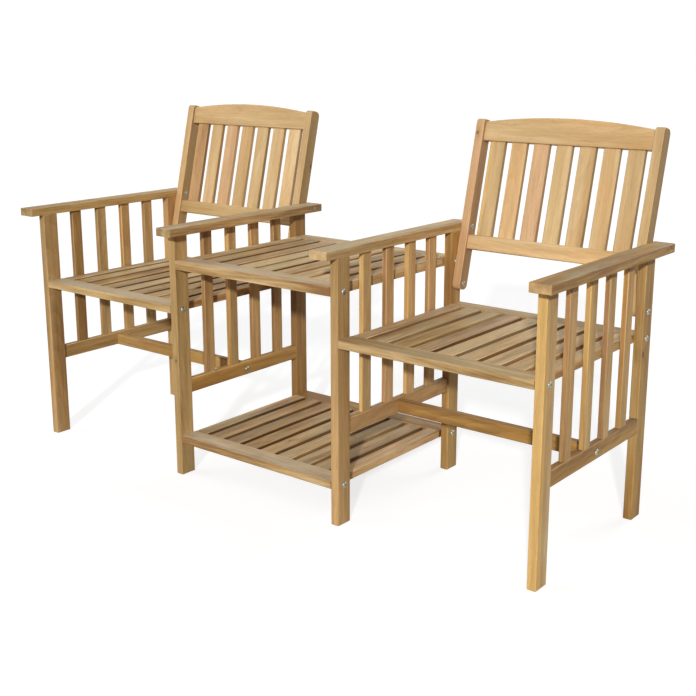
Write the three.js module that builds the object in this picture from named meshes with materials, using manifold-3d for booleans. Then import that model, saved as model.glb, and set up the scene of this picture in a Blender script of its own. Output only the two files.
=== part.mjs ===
// Garden bench with side table: two slatted armchairs joined by a slatted table with a shelf below.
// Millimetres. +X runs to the right as seen from the front, +Y to the back, +Z up.
// The origin is at the middle of the bounding box, on the ground.

import * as THREE from 'three';
import { mergeVertices } from 'three/addons/utils/BufferGeometryUtils.js';
import Module from 'manifold-3d';

// Widths between the side frames, and the depth of a side frame
const seatClearWidth = 486;
const tableClearWidth = 488;
const frameDepth = 488;

// Legs
const legThickness = 21.5;
const legDepth = 43.5;

// Armrests, flush with the chair side of the legs, overhanging the other side and both ends
const armAboveSeat = 200;
const armThickness = 20;
const armWidth = 49;
const armFrontOverhang = 38;
const armBehindBolt = 26;
const armCornerRadius = 3;

// Side rails and the slats that stand on them up to the armrest
const sideRailBottomHeight = 210;
const sideRailHeight = 36.5;
const sideRailThickness = 17;
const sideSlatWidth = 31;
const sideSlatThickness = 12.5;
const sideSlatCount = 4;

// Slatted panels: the two seats, the table top and the shelf
const seatTopHeight = 438.5;
const seatThickness = 19;
const tableAboveSeat = 116.5;
const tableThickness = 22.5;
const shelfTopHeight = 105;
const shelfThickness = 19;
const panelRailWidth = 52;
const panelBoardWidth = 39;
const panelSlatWidth = 47;
const panelSlatCount = 7;

// Stretcher under each seat, from side rail to side rail
const stretcherHeight = 32;
const stretcherThickness = 20;

// Backrests: lengths run along the slope, and heights there are above the lower bolt
const backLean = THREE.MathUtils.degToRad(13.7);
const backBoltAboveSeat = 51.5;
const stileThickness = 22.8;
const stileDepth = 35;
const stileBelowBolt = 15;
const stileAboveBolt = 407.5;
const stileFootRadius = 14;
const stileTopFrontRadius = 10;
const stileTopBackRadius = 13;
const topRailBottom = 354.5;
const topRailEndHeight = 46.5;
const topRailArchRise = 16;
const bottomRailBottom = 86;
const bottomRailHeight = 37;
const backRailThickness = 23;
const backSlatWidth = 41.5;
const backSlatThickness = 12.5;
const backSlatCount = 7;

// Bolt holes, and the recess that takes a bolt's head in the edge of an armrest
const boltHoleRadius = 4;
const headRecessRadius = 7.5;
const headRecessDepth = 5;

// Joints: tenons and housings as shares of the pieces that they belong to
const fitClearance = 0.3;
const armHousingShare = 0.5;
const tenonThicknessShare = 0.45;
const tenonWidthShare = 0.7;
const legMortiseShare = 0.4;
const stileMortiseShare = 0.6;
const panelMortiseShare = 0.3;
const backHousingShare = 0.3;
const endHoleShare = 0.09;

// Eased edges, and how finely round things are divided
const edgeEase = 2.5;
const easeSteps = 1;
const cornerSteps = 3;
const archSteps = 10;
const boltSides = 12;
const cutOverrun = 2;

// Heights and places that follow from the sizes above
const armTopHeight = seatTopHeight + armAboveSeat;
const armUnderside = armTopHeight - armThickness;
const armMiddleHeight = armTopHeight - armThickness / 2;
const tableTopHeight = seatTopHeight + tableAboveSeat;
const rearLegFront = frameDepth - legDepth;
const rearLegMiddle = frameDepth - legDepth / 2;
const sideRailTopHeight = sideRailBottomHeight + sideRailHeight;
const sideRailInner = legThickness - sideRailThickness;
const sideRailMiddle = legThickness - sideRailThickness / 2;
const stretcherHoleHeight = sideRailBottomHeight + stretcherHeight / 2;
const seatBoltHeight = seatTopHeight - seatThickness / 2;
const tableBoltHeight = tableTopHeight - tableThickness / 2;
const shelfBoltHeight = shelfTopHeight - shelfThickness / 2;
const backBoltHeight = seatTopHeight + backBoltAboveSeat;
const backBoltRise = (armMiddleHeight - backBoltHeight) / Math.cos(backLean);
const armBoltPlace = rearLegMiddle + (armMiddleHeight - backBoltHeight) * Math.tan(backLean);
const armRearEnd = armBoltPlace + armBehindBolt;
const stileInner = seatClearWidth / 2 - fitClearance - stileThickness;
const chairCentre = tableClearWidth / 2 + legThickness + seatClearWidth / 2;

const wasm = await Module();
wasm.setup();

// Solids

function solidOf(geometry) {
  geometry.deleteAttribute('normal');
  geometry.deleteAttribute('uv');
  const merged = mergeVertices(geometry);
  return new wasm.Manifold(new wasm.Mesh({
    numProp: 3,
    vertProperties: new Float32Array(merged.attributes.position.array),
    triVerts: new Uint32Array(merged.index.array),
  }));
}

function geometryOf(solid) {
  const mesh = solid.getMesh();
  const geometry = new THREE.BufferGeometry();
  geometry.setAttribute('position', new THREE.BufferAttribute(mesh.vertProperties, mesh.numProp));
  geometry.setIndex(new THREE.BufferAttribute(mesh.triVerts, 1));
  geometry.computeVertexNormals();
  return geometry;
}

// A plain block between two values on each axis
function block(x, y, z) {
  const geometry = new THREE.BoxGeometry(x[1] - x[0], y[1] - y[0], z[1] - z[0]);
  geometry.translate((x[0] + x[1]) / 2, (y[0] + y[1]) / 2, (z[0] + z[1]) / 2);
  return solidOf(geometry);
}

// The same range with a clearance at both ends
function widened(range, clearance) {
  return [range[0] - clearance, range[1] + clearance];
}

// A range of a given length about its middle
function about(middle, length) {
  return [middle - length / 2, middle + length / 2];
}

// Two distances out from the chair side of a frame, in rising order of X
function outward(side, near, far) {
  return side > 0 ? [near, far] : [-far, -near];
}

function roundedRectangle(width, height, radius) {
  const shape = new THREE.Shape();
  shape.moveTo(radius, 0);
  shape.lineTo(width - radius, 0);
  shape.absarc(width - radius, radius, radius, -Math.PI / 2, 0);
  shape.lineTo(width, height - radius);
  shape.absarc(width - radius, height - radius, radius, 0, Math.PI / 2);
  shape.lineTo(radius, height);
  shape.absarc(radius, height - radius, radius, Math.PI / 2, Math.PI);
  shape.lineTo(0, radius);
  shape.absarc(radius, radius, radius, Math.PI, Math.PI * 1.5);
  return shape;
}

// Turns a shape drawn in X and Y and extruded along Z so that it is extruded along another axis
function turnedTo(axis, geometry) {
  const right = new THREE.Vector3(1, 0, 0);
  const back = new THREE.Vector3(0, 1, 0);
  const up = new THREE.Vector3(0, 0, 1);
  const turn = new THREE.Matrix4();
  if (axis === 'x') turn.makeBasis(back, up, right);
  if (axis === 'y') turn.makeBasis(up, right, back);
  return geometry.applyMatrix4(turn);
}

// A board with its long edges eased, its grain along one axis, between two values on each axis
function board(grain, x, y, z) {
  const sizes = { x: x[1] - x[0], y: y[1] - y[0], z: z[1] - z[0] };
  const across = { x: ['y', 'z'], y: ['z', 'x'], z: ['x', 'y'] }[grain];
  const outline = roundedRectangle(sizes[across[0]], sizes[across[1]], edgeEase);
  const geometry = new THREE.ExtrudeGeometry(outline, {
    depth: sizes[grain],
    bevelEnabled: false,
    curveSegments: easeSteps,
  });
  turnedTo(grain, geometry).translate(x[0], y[0], z[0]);
  return solidOf(geometry);
}

// A plate cut to an outline in X and Y, with the edges of both faces eased, from zero up
function easedPlate(outline, thickness, steps) {
  return new THREE.ExtrudeGeometry(outline, {
    depth: thickness - edgeEase * 2,
    bevelThickness: edgeEase,
    bevelSize: edgeEase,
    bevelOffset: -edgeEase,
    bevelSegments: easeSteps,
    curveSegments: steps,
  }).translate(0, 0, edgeEase);
}

// A round hole along X
function boltHole(radius, x, y, z) {
  const length = x[1] - x[0];
  const geometry = new THREE.CylinderGeometry(radius, radius, length, boltSides);
  geometry.rotateZ(Math.PI / 2).translate((x[0] + x[1]) / 2, y, z);
  return solidOf(geometry);
}

function wood(name, colour, solid) {
  const material = new THREE.MeshStandardMaterial({ color: colour, roughness: 0.62, metalness: 0 });
  const mesh = new THREE.Mesh(geometryOf(solid), material);
  mesh.name = name;
  return mesh;
}

// Evenly spaced middles of pieces that stand between two ends with equal gaps
function spacedMiddles(range, count, width) {
  const gap = (range[1] - range[0] - count * width) / (count + 1);
  const first = range[0] + gap + width / 2;
  return Array.from({ length: count }, (_, index) => first + index * (gap + width));
}

// Tones of the wood
const legTone = 0xd0a066;
const armTone = 0xc3a178;
const railTone = 0xc59a66;
const sideSlatTone = 0xcf9f62;
const panelTone = 0xc4a376;
const backTone = 0xc8a470;

// Side frame

// Tenons of a leg in the armrest, and of a side rail in a leg, as ranges
const legTenonAcross = legThickness * (1 - tenonThicknessShare) / 2;
const legTenonSetback = legDepth * (1 - tenonWidthShare) / 2;
const armHousingDepth = armThickness * armHousingShare;
const railTenonThickness = sideRailThickness * tenonThicknessShare;
const railTenonHeight = sideRailHeight * tenonWidthShare;
const railTenonLength = legDepth * legMortiseShare;
const railTenonRise = about(sideRailBottomHeight + sideRailHeight / 2, railTenonHeight);

function legTenonX(side) {
  return outward(side, legTenonAcross, legThickness - legTenonAcross);
}

function legTenonY(legFront) {
  return [legFront + legTenonSetback, legFront + legDepth - legTenonSetback];
}

function railTenonX(side) {
  const [near, far] = about(sideRailMiddle, railTenonThickness);
  return outward(side, near, far);
}

function sideSlatX(side) {
  const [near, far] = about(sideRailMiddle, sideSlatThickness);
  return outward(side, near, far);
}

const sideSlatMiddles = spacedMiddles([legDepth, rearLegFront], sideSlatCount, sideSlatWidth);

function leg(name, side, legFront, boltHeights) {
  const shoulder = armUnderside - fitClearance;
  const tenonTop = armUnderside + armHousingDepth - fitClearance;
  const x = outward(side, 0, legThickness);
  const y = [legFront, legFront + legDepth];
  let solid = board('z', x, y, [0, shoulder]);
  solid = solid.add(block(legTenonX(side), legTenonY(legFront), [shoulder - cutOverrun, tenonTop]));
  const mortiseDepth = railTenonLength + fitClearance;
  const mortiseY = legFront > 0
    ? [legFront - cutOverrun, legFront + mortiseDepth]
    : [legDepth - mortiseDepth, legDepth + cutOverrun];
  const mortiseX = widened(railTenonX(side), fitClearance);
  solid = solid.subtract(block(mortiseX, mortiseY, widened(railTenonRise, fitClearance)));
  for (const height of boltHeights) {
    const holeX = widened(x, cutOverrun);
    solid = solid.subtract(boltHole(boltHoleRadius, holeX, legFront + legDepth / 2, height));
  }
  return wood(name, legTone, solid);
}

function slattedSideRail(name, side) {
  const x = outward(side, sideRailInner, legThickness);
  const y = [legDepth + fitClearance, rearLegFront - fitClearance];
  const z = [sideRailBottomHeight, sideRailTopHeight];
  let solid = board('y', x, y, z);
  const tenonY = widened([legDepth, rearLegFront], railTenonLength);
  solid = solid.add(block(railTenonX(side), tenonY, railTenonRise));
  const slatTop = armUnderside + armHousingDepth - fitClearance;
  for (const middle of sideSlatMiddles) {
    const slatY = about(middle, sideSlatWidth);
    const slatZ = [sideRailTopHeight - sideRailHeight / 2, slatTop];
    solid = solid.add(board('z', sideSlatX(side), slatY, slatZ));
  }
  const holeX = widened(x, cutOverrun);
  solid = solid.subtract(boltHole(boltHoleRadius, holeX, frameDepth / 2, stretcherHoleHeight));
  return wood(name, sideSlatTone, solid);
}

function armrest(name, side) {
  const length = armRearEnd + armFrontOverhang;
  const x = outward(side, 0, armWidth);
  const outline = roundedRectangle(armWidth, length, armCornerRadius);
  const plate = easedPlate(outline, armThickness, easeSteps);
  let solid = solidOf(plate.translate(x[0], -armFrontOverhang, armUnderside));
  const housingZ = [armUnderside - cutOverrun, armUnderside + armHousingDepth];
  for (const legFront of [0, rearLegFront]) {
    const housingX = widened(legTenonX(side), fitClearance);
    const housingY = widened(legTenonY(legFront), fitClearance);
    solid = solid.subtract(block(housingX, housingY, housingZ));
  }
  for (const middle of sideSlatMiddles) {
    const housingX = widened(sideSlatX(side), fitClearance);
    const housingY = widened(about(middle, sideSlatWidth), fitClearance);
    solid = solid.subtract(block(housingX, housingY, housingZ));
  }
  const holeX = widened(x, cutOverrun);
  solid = solid.subtract(boltHole(boltHoleRadius, holeX, armBoltPlace, armMiddleHeight));
  const recessX = outward(side, armWidth - headRecessDepth, armWidth + cutOverrun);
  solid = solid.subtract(boltHole(headRecessRadius, recessX, armBoltPlace, armMiddleHeight));
  return wood(name, armTone, solid);
}

function sideFrame(prefix, side, carriesTable) {
  const tableBolts = carriesTable ? [tableBoltHeight, shelfBoltHeight] : [];
  const panelBolts = [seatBoltHeight, ...tableBolts];
  const frame = new THREE.Group();
  frame.add(leg(`${prefix}_front_leg`, side, 0, panelBolts));
  frame.add(leg(`${prefix}_rear_leg`, side, rearLegFront, [...panelBolts, backBoltHeight]));
  frame.add(slattedSideRail(`${prefix}_slatted_side_rail`, side));
  frame.add(armrest(`${prefix}_armrest`, side));
  return frame;
}

// Slatted panel, drawn with its top at zero and X from the middle of the clear width

const panelTenonLength = panelRailWidth * panelMortiseShare;

function panelEndHoles(solid, halfWidth, middle, height) {
  const depth = halfWidth * 2 * endHoleShare;
  const left = [-halfWidth - cutOverrun, -halfWidth + depth];
  const right = [halfWidth - depth, halfWidth + cutOverrun];
  return solid
    .subtract(boltHole(boltHoleRadius, left, middle, height))
    .subtract(boltHole(boltHoleRadius, right, middle, height));
}

function slattedPanel(prefix, clearWidth, thickness) {
  const half = clearWidth / 2 - fitClearance;
  const z = [-thickness, 0];
  const tenonZ = about(-thickness / 2, thickness * tenonThicknessShare);
  const rearRailFront = frameDepth - panelRailWidth;
  const slatSpan = [panelBoardWidth - half, half - panelBoardWidth];
  const slatMiddles = spacedMiddles(slatSpan, panelSlatCount, panelSlatWidth);
  const boardMiddles = [panelBoardWidth / 2 - half, half - panelBoardWidth / 2];
  const slatTenonWidth = panelSlatWidth * tenonWidthShare;
  const boardTenonWidth = panelBoardWidth * tenonWidthShare;

  let front = board('x', [-half, half], [0, panelRailWidth], z);
  let rear = board('x', [-half, half], [rearRailFront, frameDepth], z);
  const mortiseZ = widened(tenonZ, fitClearance);
  const frontMortiseY = [panelRailWidth - panelTenonLength - fitClearance, panelRailWidth + cutOverrun];
  const rearMortiseY = [rearRailFront - cutOverrun, rearRailFront + panelTenonLength + fitClearance];
  for (const middle of slatMiddles) {
    const mortiseX = widened(about(middle, slatTenonWidth), fitClearance);
    front = front.subtract(block(mortiseX, frontMortiseY, mortiseZ));
    const slatX = about(middle, panelSlatWidth);
    const slatY = [panelRailWidth + fitClearance, rearRailFront + panelTenonLength];
    const tenonY = [panelRailWidth - panelTenonLength, rearRailFront];
    rear = rear.add(board('y', slatX, slatY, z));
    rear = rear.add(block(about(middle, slatTenonWidth), tenonY, tenonZ));
  }
  for (const middle of boardMiddles) {
    const mortiseX = widened(about(middle, boardTenonWidth), fitClearance);
    front = front.subtract(block(mortiseX, frontMortiseY, mortiseZ));
    rear = rear.subtract(block(mortiseX, rearMortiseY, mortiseZ));
  }
  front = panelEndHoles(front, half, legDepth / 2, -thickness / 2);
  rear = panelEndHoles(rear, half, rearLegMiddle, -thickness / 2);

  const panel = new THREE.Group();
  panel.add(wood(`${prefix}_front_rail`, railTone, front));
  panel.add(wood(`${prefix}_slatted_rear_rail`, panelTone, rear));
  boardMiddles.forEach((middle, index) => {
    const x = about(middle, panelBoardWidth);
    const y = widened([panelRailWidth, rearRailFront], -fitClearance);
    const tenonY = widened([panelRailWidth, rearRailFront], panelTenonLength);
    const tenon = block(about(middle, boardTenonWidth), tenonY, tenonZ);
    const solid = board('y', x, y, z).add(tenon);
    panel.add(wood(`${prefix}_${['left', 'right'][index]}_board`, railTone, solid));
  });
  return panel;
}

// Stretcher, bolted at its ends through the side rails

function stretcher(name) {
  const half = seatClearWidth / 2 + sideRailInner - fitClearance;
  const z = [sideRailBottomHeight, sideRailBottomHeight + stretcherHeight];
  const depth = half * 2 * endHoleShare;
  let solid = board('x', [-half, half], about(frameDepth / 2, stretcherThickness), z);
  for (const holeX of [[-half - cutOverrun, -half + depth], [half - depth, half + cutOverrun]]) {
    solid = solid.subtract(boltHole(boltHoleRadius, holeX, frameDepth / 2, stretcherHoleHeight));
  }
  return wood(name, railTone, solid);
}

// Backrest, drawn upright about its lower bolts and leaned back as a whole

const backRailHalf = stileInner - fitClearance;
const stileTenonLength = stileThickness * stileMortiseShare;
const backTenonY = about(0, backRailThickness * tenonThicknessShare);
const backSlatMiddles = spacedMiddles([-stileInner, stileInner], backSlatCount, backSlatWidth);
const topHousingDepth = topRailEndHeight * backHousingShare;
const bottomHousingDepth = bottomRailHeight * backHousingShare;
const bottomRailTop = bottomRailBottom + bottomRailHeight;

function backTenonZ(bottom, height) {
  return about(bottom + height / 2, height * tenonWidthShare);
}

// Side view of a stile: Y to the back from its centreline, Z up, rounded at both ends
function stileOutline() {
  const half = stileDepth / 2;
  const foot = stileFootRadius;
  const front = stileTopFrontRadius;
  const back = stileTopBackRadius;
  const shape = new THREE.Shape();
  shape.moveTo(foot - half, -stileBelowBolt);
  shape.lineTo(half - foot, -stileBelowBolt);
  shape.absarc(half - foot, foot - stileBelowBolt, foot, -Math.PI / 2, 0);
  shape.lineTo(half, stileAboveBolt - back);
  shape.absarc(half - back, stileAboveBolt - back, back, 0, Math.PI / 2);
  shape.lineTo(front - half, stileAboveBolt);
  shape.absarc(front - half, stileAboveBolt - front, front, Math.PI / 2, Math.PI);
  shape.lineTo(-half, foot - stileBelowBolt);
  shape.absarc(foot - half, foot - stileBelowBolt, foot, Math.PI, Math.PI * 1.5);
  return shape;
}

function stile(name, side) {
  const inner = side * stileInner;
  const outer = side * (stileInner + stileThickness);
  const x = [Math.min(inner, outer), Math.max(inner, outer)];
  const plate = easedPlate(stileOutline(), stileThickness, cornerSteps);
  let solid = solidOf(turnedTo('x', plate).translate(x[0], 0, 0));
  const depth = stileTenonLength + fitClearance;
  const mortiseX = side > 0 ? [inner - cutOverrun, inner + depth] : [inner - depth, inner + cutOverrun];
  const mortiseY = widened(backTenonY, fitClearance);
  const rails = [[topRailBottom, topRailEndHeight], [bottomRailBottom, bottomRailHeight]];
  for (const [bottom, height] of rails) {
    const mortiseZ = widened(backTenonZ(bottom, height), fitClearance);
    solid = solid.subtract(block(mortiseX, mortiseY, mortiseZ));
  }
  for (const height of [0, backBoltRise]) {
    solid = solid.subtract(boltHole(boltHoleRadius, widened(x, cutOverrun), 0, height));
  }
  return wood(name, legTone, solid);
}

// Housings that take the slat ends, cut into a rail between two heights
function slatHousings(solid, z) {
  const y = widened(about(0, backSlatThickness), fitClearance);
  for (const middle of backSlatMiddles) {
    const x = widened(about(middle, backSlatWidth), fitClearance);
    solid = solid.subtract(block(x, y, z));
  }
  return solid;
}

function backRailTenons(solid, bottom, height) {
  const x = widened([-stileInner, stileInner], stileTenonLength);
  return solid.add(block(x, backTenonY, backTenonZ(bottom, height)));
}

// Front view of the top rail: straight below, arched above
function topRailOutline() {
  const half = backRailHalf;
  const radius = (half ** 2 + topRailArchRise ** 2) / (2 * topRailArchRise);
  const reach = Math.asin(half / radius);
  const shape = new THREE.Shape();
  shape.moveTo(-half, 0);
  shape.lineTo(half, 0);
  shape.lineTo(half, topRailEndHeight);
  const centre = topRailEndHeight + topRailArchRise - radius;
  shape.absarc(0, centre, radius, Math.PI / 2 - reach, Math.PI / 2 + reach);
  return shape;
}

function topRail(name) {
  const plate = easedPlate(topRailOutline(), backRailThickness, archSteps);
  plate.rotateX(Math.PI / 2).translate(0, backRailThickness / 2, topRailBottom);
  let solid = solidOf(plate);
  solid = backRailTenons(solid, topRailBottom, topRailEndHeight);
  solid = slatHousings(solid, [topRailBottom - cutOverrun, topRailBottom + topHousingDepth]);
  return wood(name, backTone, solid);
}

function bottomRail(name) {
  const y = about(0, backRailThickness);
  let solid = board('x', [-backRailHalf, backRailHalf], y, [bottomRailBottom, bottomRailTop]);
  solid = backRailTenons(solid, bottomRailBottom, bottomRailHeight);
  solid = slatHousings(solid, [bottomRailTop - bottomHousingDepth, bottomRailTop + cutOverrun]);
  return wood(name, backTone, solid);
}

function backSlat(name, middle) {
  const z = [
    bottomRailTop - bottomHousingDepth + fitClearance,
    topRailBottom + topHousingDepth - fitClearance,
  ];
  const x = about(middle, backSlatWidth);
  return wood(name, backTone, board('z', x, about(0, backSlatThickness), z));
}

function backrest(prefix) {
  const back = new THREE.Group();
  back.add(stile(`${prefix}_left_stile`, -1));
  back.add(stile(`${prefix}_right_stile`, 1));
  back.add(topRail(`${prefix}_top_rail`));
  back.add(bottomRail(`${prefix}_bottom_rail`));
  backSlatMiddles.forEach((middle, index) => {
    back.add(backSlat(`${prefix}_slat_${index + 1}`, middle));
  });
  back.position.set(0, rearLegMiddle, backBoltHeight);
  back.rotation.x = -backLean;
  return back;
}

// Chair, with X from the middle of the seat

function chair(prefix, tableSide) {
  const group = new THREE.Group();
  for (const [word, side] of [['left', -1], ['right', 1]]) {
    const frame = sideFrame(`${prefix}_chair_${word}`, side, side === tableSide);
    frame.position.x = side * seatClearWidth / 2;
    group.add(frame);
  }
  const seat = slattedPanel(`${prefix}_seat`, seatClearWidth, seatThickness);
  seat.position.z = seatTopHeight;
  group.add(seat);
  group.add(stretcher(`${prefix}_chair_stretcher`));
  group.add(backrest(`${prefix}_chair_back`));
  return group;
}

// The whole bench, centred on its bounding box

const bench = new THREE.Group();
for (const [word, side] of [['left', -1], ['right', 1]]) {
  const group = chair(word, -side);
  group.position.x = side * chairCentre;
  bench.add(group);
}
const tableTop = slattedPanel('table_top', tableClearWidth, tableThickness);
tableTop.position.z = tableTopHeight;
const tableShelf = slattedPanel('table_shelf', tableClearWidth, shelfThickness);
tableShelf.position.z = shelfTopHeight;
bench.add(tableTop, tableShelf);
const bounds = new THREE.Box3().setFromObject(bench, true);
bench.position.y = -(bounds.min.y + bounds.max.y) / 2;
bench.updateMatrixWorld(true);

export default bench;
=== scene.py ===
"""Garden bench with side table: the looks of its boards, bolts and stage."""

import math
import random
from collections import namedtuple
from functools import partial

import bmesh
import bpy
from bpy.props import FloatProperty, FloatVectorProperty, IntProperty, PointerProperty
from mathutils import Matrix, Vector


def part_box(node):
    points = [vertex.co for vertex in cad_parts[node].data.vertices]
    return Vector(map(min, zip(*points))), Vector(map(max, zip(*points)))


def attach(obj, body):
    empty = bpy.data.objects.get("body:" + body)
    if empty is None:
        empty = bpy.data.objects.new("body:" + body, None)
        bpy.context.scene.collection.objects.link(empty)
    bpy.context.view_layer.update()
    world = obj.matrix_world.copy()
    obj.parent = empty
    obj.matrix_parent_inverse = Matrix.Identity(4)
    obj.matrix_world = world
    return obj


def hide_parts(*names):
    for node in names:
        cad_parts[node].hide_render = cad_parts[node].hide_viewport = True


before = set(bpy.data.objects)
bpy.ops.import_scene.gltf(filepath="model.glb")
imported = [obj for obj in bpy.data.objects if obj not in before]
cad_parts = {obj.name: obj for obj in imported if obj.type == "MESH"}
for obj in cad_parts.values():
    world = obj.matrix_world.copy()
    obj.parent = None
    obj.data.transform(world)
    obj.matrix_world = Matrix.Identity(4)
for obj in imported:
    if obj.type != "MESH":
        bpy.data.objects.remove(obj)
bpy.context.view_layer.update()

bl_info = {
    "name": "Garden Bench With Side Table",
    "version": (1, 0, 0),
    "blender": (4, 5, 0),
    "location": "View3D > Sidebar > Garden Bench",
    "description": "Boards, bolts and stage of a slatted garden bench with a side table",
    "category": "Object",
}

CHAIRS = ("left", "right")
SIDES = ("left", "right")
SIDE_FRAMES = [(chair, side) for chair in CHAIRS for side in SIDES]
PANELS = ("left_seat", "right_seat", "table_top", "table_shelf")
X, Y, Z = 0, 1, 2
ROOT = "root"
WHITE = (1.0, 1.0, 1.0, 1.0)
TINY = 1e-5
# How far a direction runs along an axis: wholly, more than half, hardly
ALIGNED = 0.999
FACING = 0.5
EDGE_ON = 0.02
# Steps of a rounding, and cuts in the arch and round a recess
ARRIS_STEPS = 3
CORNER_STEPS = 4
STILE_STEPS = 6
ARCH_CUTS = 23
RECESS_CUTS = 5

# How light each group of boards is, from the darkest heartwood (0) to the palest straw (1)
TONES = {
    "leg": 0.44,
    "armrest": 0.54,
    "side_rail": 0.40,
    "side_slat": 0.46,
    # Stretchers are darker: painted shade under the seats
    "stretcher": 0.34,
    "left_seat": 0.53,
    "right_seat": 0.57,
    "table_top": 0.56,
    "table_shelf": 0.50,
    "stile": 0.62,
    "top_rail": 0.64,
    "bottom_rail": 0.54,
    "back_slat": 0.66,
}

# Finishes: how much grey sheen is painted on tops, how strong the figure is, how dark painted shade
# and dirt make the narrow sides, how much pale sheen is painted on tops, which way the narrow sides
# look and the tint of that shade and dirt
# Dark tint of the painted shade, oil and dirt on narrow sides
OIL_AND_SHADE = (0.25, 0.17, 0.06)
Finish = namedtuple("Finish", "weathered contrast darker silver narrow dirty")
FINISHES = {
    "leg_wood": Finish(0.0, 1.12, 0.0, 0.0, X, OIL_AND_SHADE),
    "armrest_wood": Finish(0.42, 2.1, 0.0, 0.0, X, OIL_AND_SHADE),
    "side_wood": Finish(0.25, 1.2, 1.0, 0.0, Y, (0.40, 0.20, 0.12)),
    "panel_wood": Finish(0.34, 2.3, 1.0, 0.0, X, OIL_AND_SHADE),
    "panel_wood_silver": Finish(0.0, 2.3, 1.0, 0.60, X, OIL_AND_SHADE),
    "backrest_wood": Finish(0.20, 0.85, 0.60, 0.0, X, OIL_AND_SHADE),
}

# Noises in the wood: waves per metre across and along the grain, detail and roughness
NOISES = {
    "sway": (8.0, 2.2, 2.0, 0.5),
    "knot_rim": (210.0, 90.0, 2.0, 0.5),
    "broad": (22.0, 1.7, 2.0, 0.5),
    "figure": (46.0, 7.0, 3.0, 0.6),
    "streak": (95.0, 3.0, 3.0, 0.6),
    "fibre": (520.0, 9.0, 3.0, 0.65),
    "pores": (1150.0, 42.0, 1.0, 0.5),
    "flecks": (210.0, 11.0, 2.0, 0.6),
    "drift": (14.0, 2.1, 2.0, 0.5),
    "rays": (620.0, 300.0, 2.0, 0.5),
    "rub_and_highlight": (60.0, 14.0, 3.0, 0.7),
    "blotch": (26.0, 9.0, 3.0, 0.6),
}
# How much each adds to the light and dark of a board, and to the height of its face
BANDS = {"broad": 0.95, "figure": 0.60, "streak": 0.50, "fibre": 0.30, "rings": 0.10}
HEIGHTS = {"streak": 0.35, "pores": -0.8, "rings": 0.25}
GRAIN_DEPTH = 0.0005
# Roughness: how much fibres and cut ends add to the plain amount
ROUGH, FIBRE_ROUGH, CUT_ROUGH = 0.44, 0.20, 0.16
# How strongly each mark covers the wood below it
COVERS = {
    "halo": 0.34,
    "core": 0.82,
    "pores": 0.30,
    "flecks": 0.18,
    "sapwood": 0.82,
    "cut": 0.75,
    "rub_and_highlight": 0.75,
}
# Where a value starts and stops to count, and what it counts for there
SPANS = {
    "core": (1.05, 0.60),
    "halo": (4.4, 0.9),
    "pores": (0.60, 0.70),
    "flecks": (0.58, 0.70, 0.0),
    "sapwood": (-0.0016, 0.0024),
    "rub_and_highlight": (0.36, 0.62, 0.25, 1.0),
    "side": (0.70, 0.98, 0.0),
    "top": (0.75, 0.98),
    "blotch": (0.32, 0.68, 0.15, 1.3),
    "silver": (0.30, 0.70, 0.6, 1.2),
    "olive": (-0.35, 0.0, 0.15, 1.0),
}
# How much of a cut end is the board's own shade, how far apart boards lie in the noises, how far
# the grain sways and a knot pulls it, and how much a lean drifts
OWN_END = 0.45
SEED_STRIDE = (31.7, 17.3, 9.1)
SWAY = 0.022
KNOT_PULL = 0.007
DRIFT = 1.3
# More numbers from a board's seed, with their spread and start: the trunk's slant to the board, its
# middle beside and below it, and how pale the cut end is
DRAWS = {
    "slant": (3.3, 0.24, -0.12),
    "beside": (1.0, 0.10, -0.05),
    "below": (5.7, 0.05, 0.02),
    "end": (4.9, 1.0, 0.0),
}
RING_STRETCH = (1.0, 1.0, 0.02)
RINGS = {"Scale": 44.0, "Distortion": 3.0, "Detail": 2.0, "Detail Scale": 0.8}

# Places of the four tones on their ramp, and the slope and start of a lean's place on its own
TONE_PLACES = (0.0, 0.30, 0.65, 1.0)
LEAN_PLACE = (0.6, 0.4)
# Tints that the wood is multiplied by, and colours that it is mixed with
LEAN_TINTS = (
    (0.01, (1.04, 0.90, 0.56)),
    (0.40, (1.00, 0.995, 0.92)),
    (0.61, (1.00, 1.00, 1.00)),
    (0.79, (1.06, 0.96, 0.85)),
    (1.00, (1.06, 0.97, 1.04)),
)
SAPWOOD_TINTS = ((0.25, (0.80, 0.78, 0.74)), (0.75, (1.12, 1.14, 1.2)))
RAY_TINTS = ((0.3, (0.98, 0.93, 0.86)), (0.7, (1.36, 1.33, 1.24)))
# Rubbed edges are lightened: wear, and a painted highlight along them
RUB_AND_HIGHLIGHT_TINT = (1.30, 1.30, 1.34)
DARK_END = (0.273, 0.250, 0.160)
# Colour of the painted sheen on front rails' tops
PALE_SHEEN = (0.720, 0.620, 0.440)

# Zinc: waves per metre of clouds and scratches, darkest and lightest part, roughness and bump
ZINC_CLOUDS = (900.0, 900.0, 900.0)
ZINC_SCRATCHES = (2600.0, 500.0, 2600.0)
ZINC_CHANGES = (0.62, 1.25)
ZINC_ROUGH = (0.28, 0.22)
ZINC_BUMP = {"Strength": 0.12, "Distance": 0.0001}

# The suns: their turns about X, Y and Z and how wide they look, in degrees
SUNS = {
    "key": ((69.0, 0.0, 30.0), 2.5),
    "fill": ((60.0, 0.0, -60.0), 45.0),
    "back": ((-65.0, 0.0, -10.0), 30.0),
}

# Recess for a bolt's head: the ring round its patch, and its circle's share of that patch
RECESS_RING = 0.0004
RECESS_SHARE = 0.96
# Domed head: steps round and up; shares of its height where the flat top starts and that the socket
# may take; share of its radius that is the ring round the socket
DOME_STEPS = (24, 16)
DOME_FLAT = 0.88
SOCKET_MOST = 0.8
SOCKET_RING = 0.05

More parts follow.
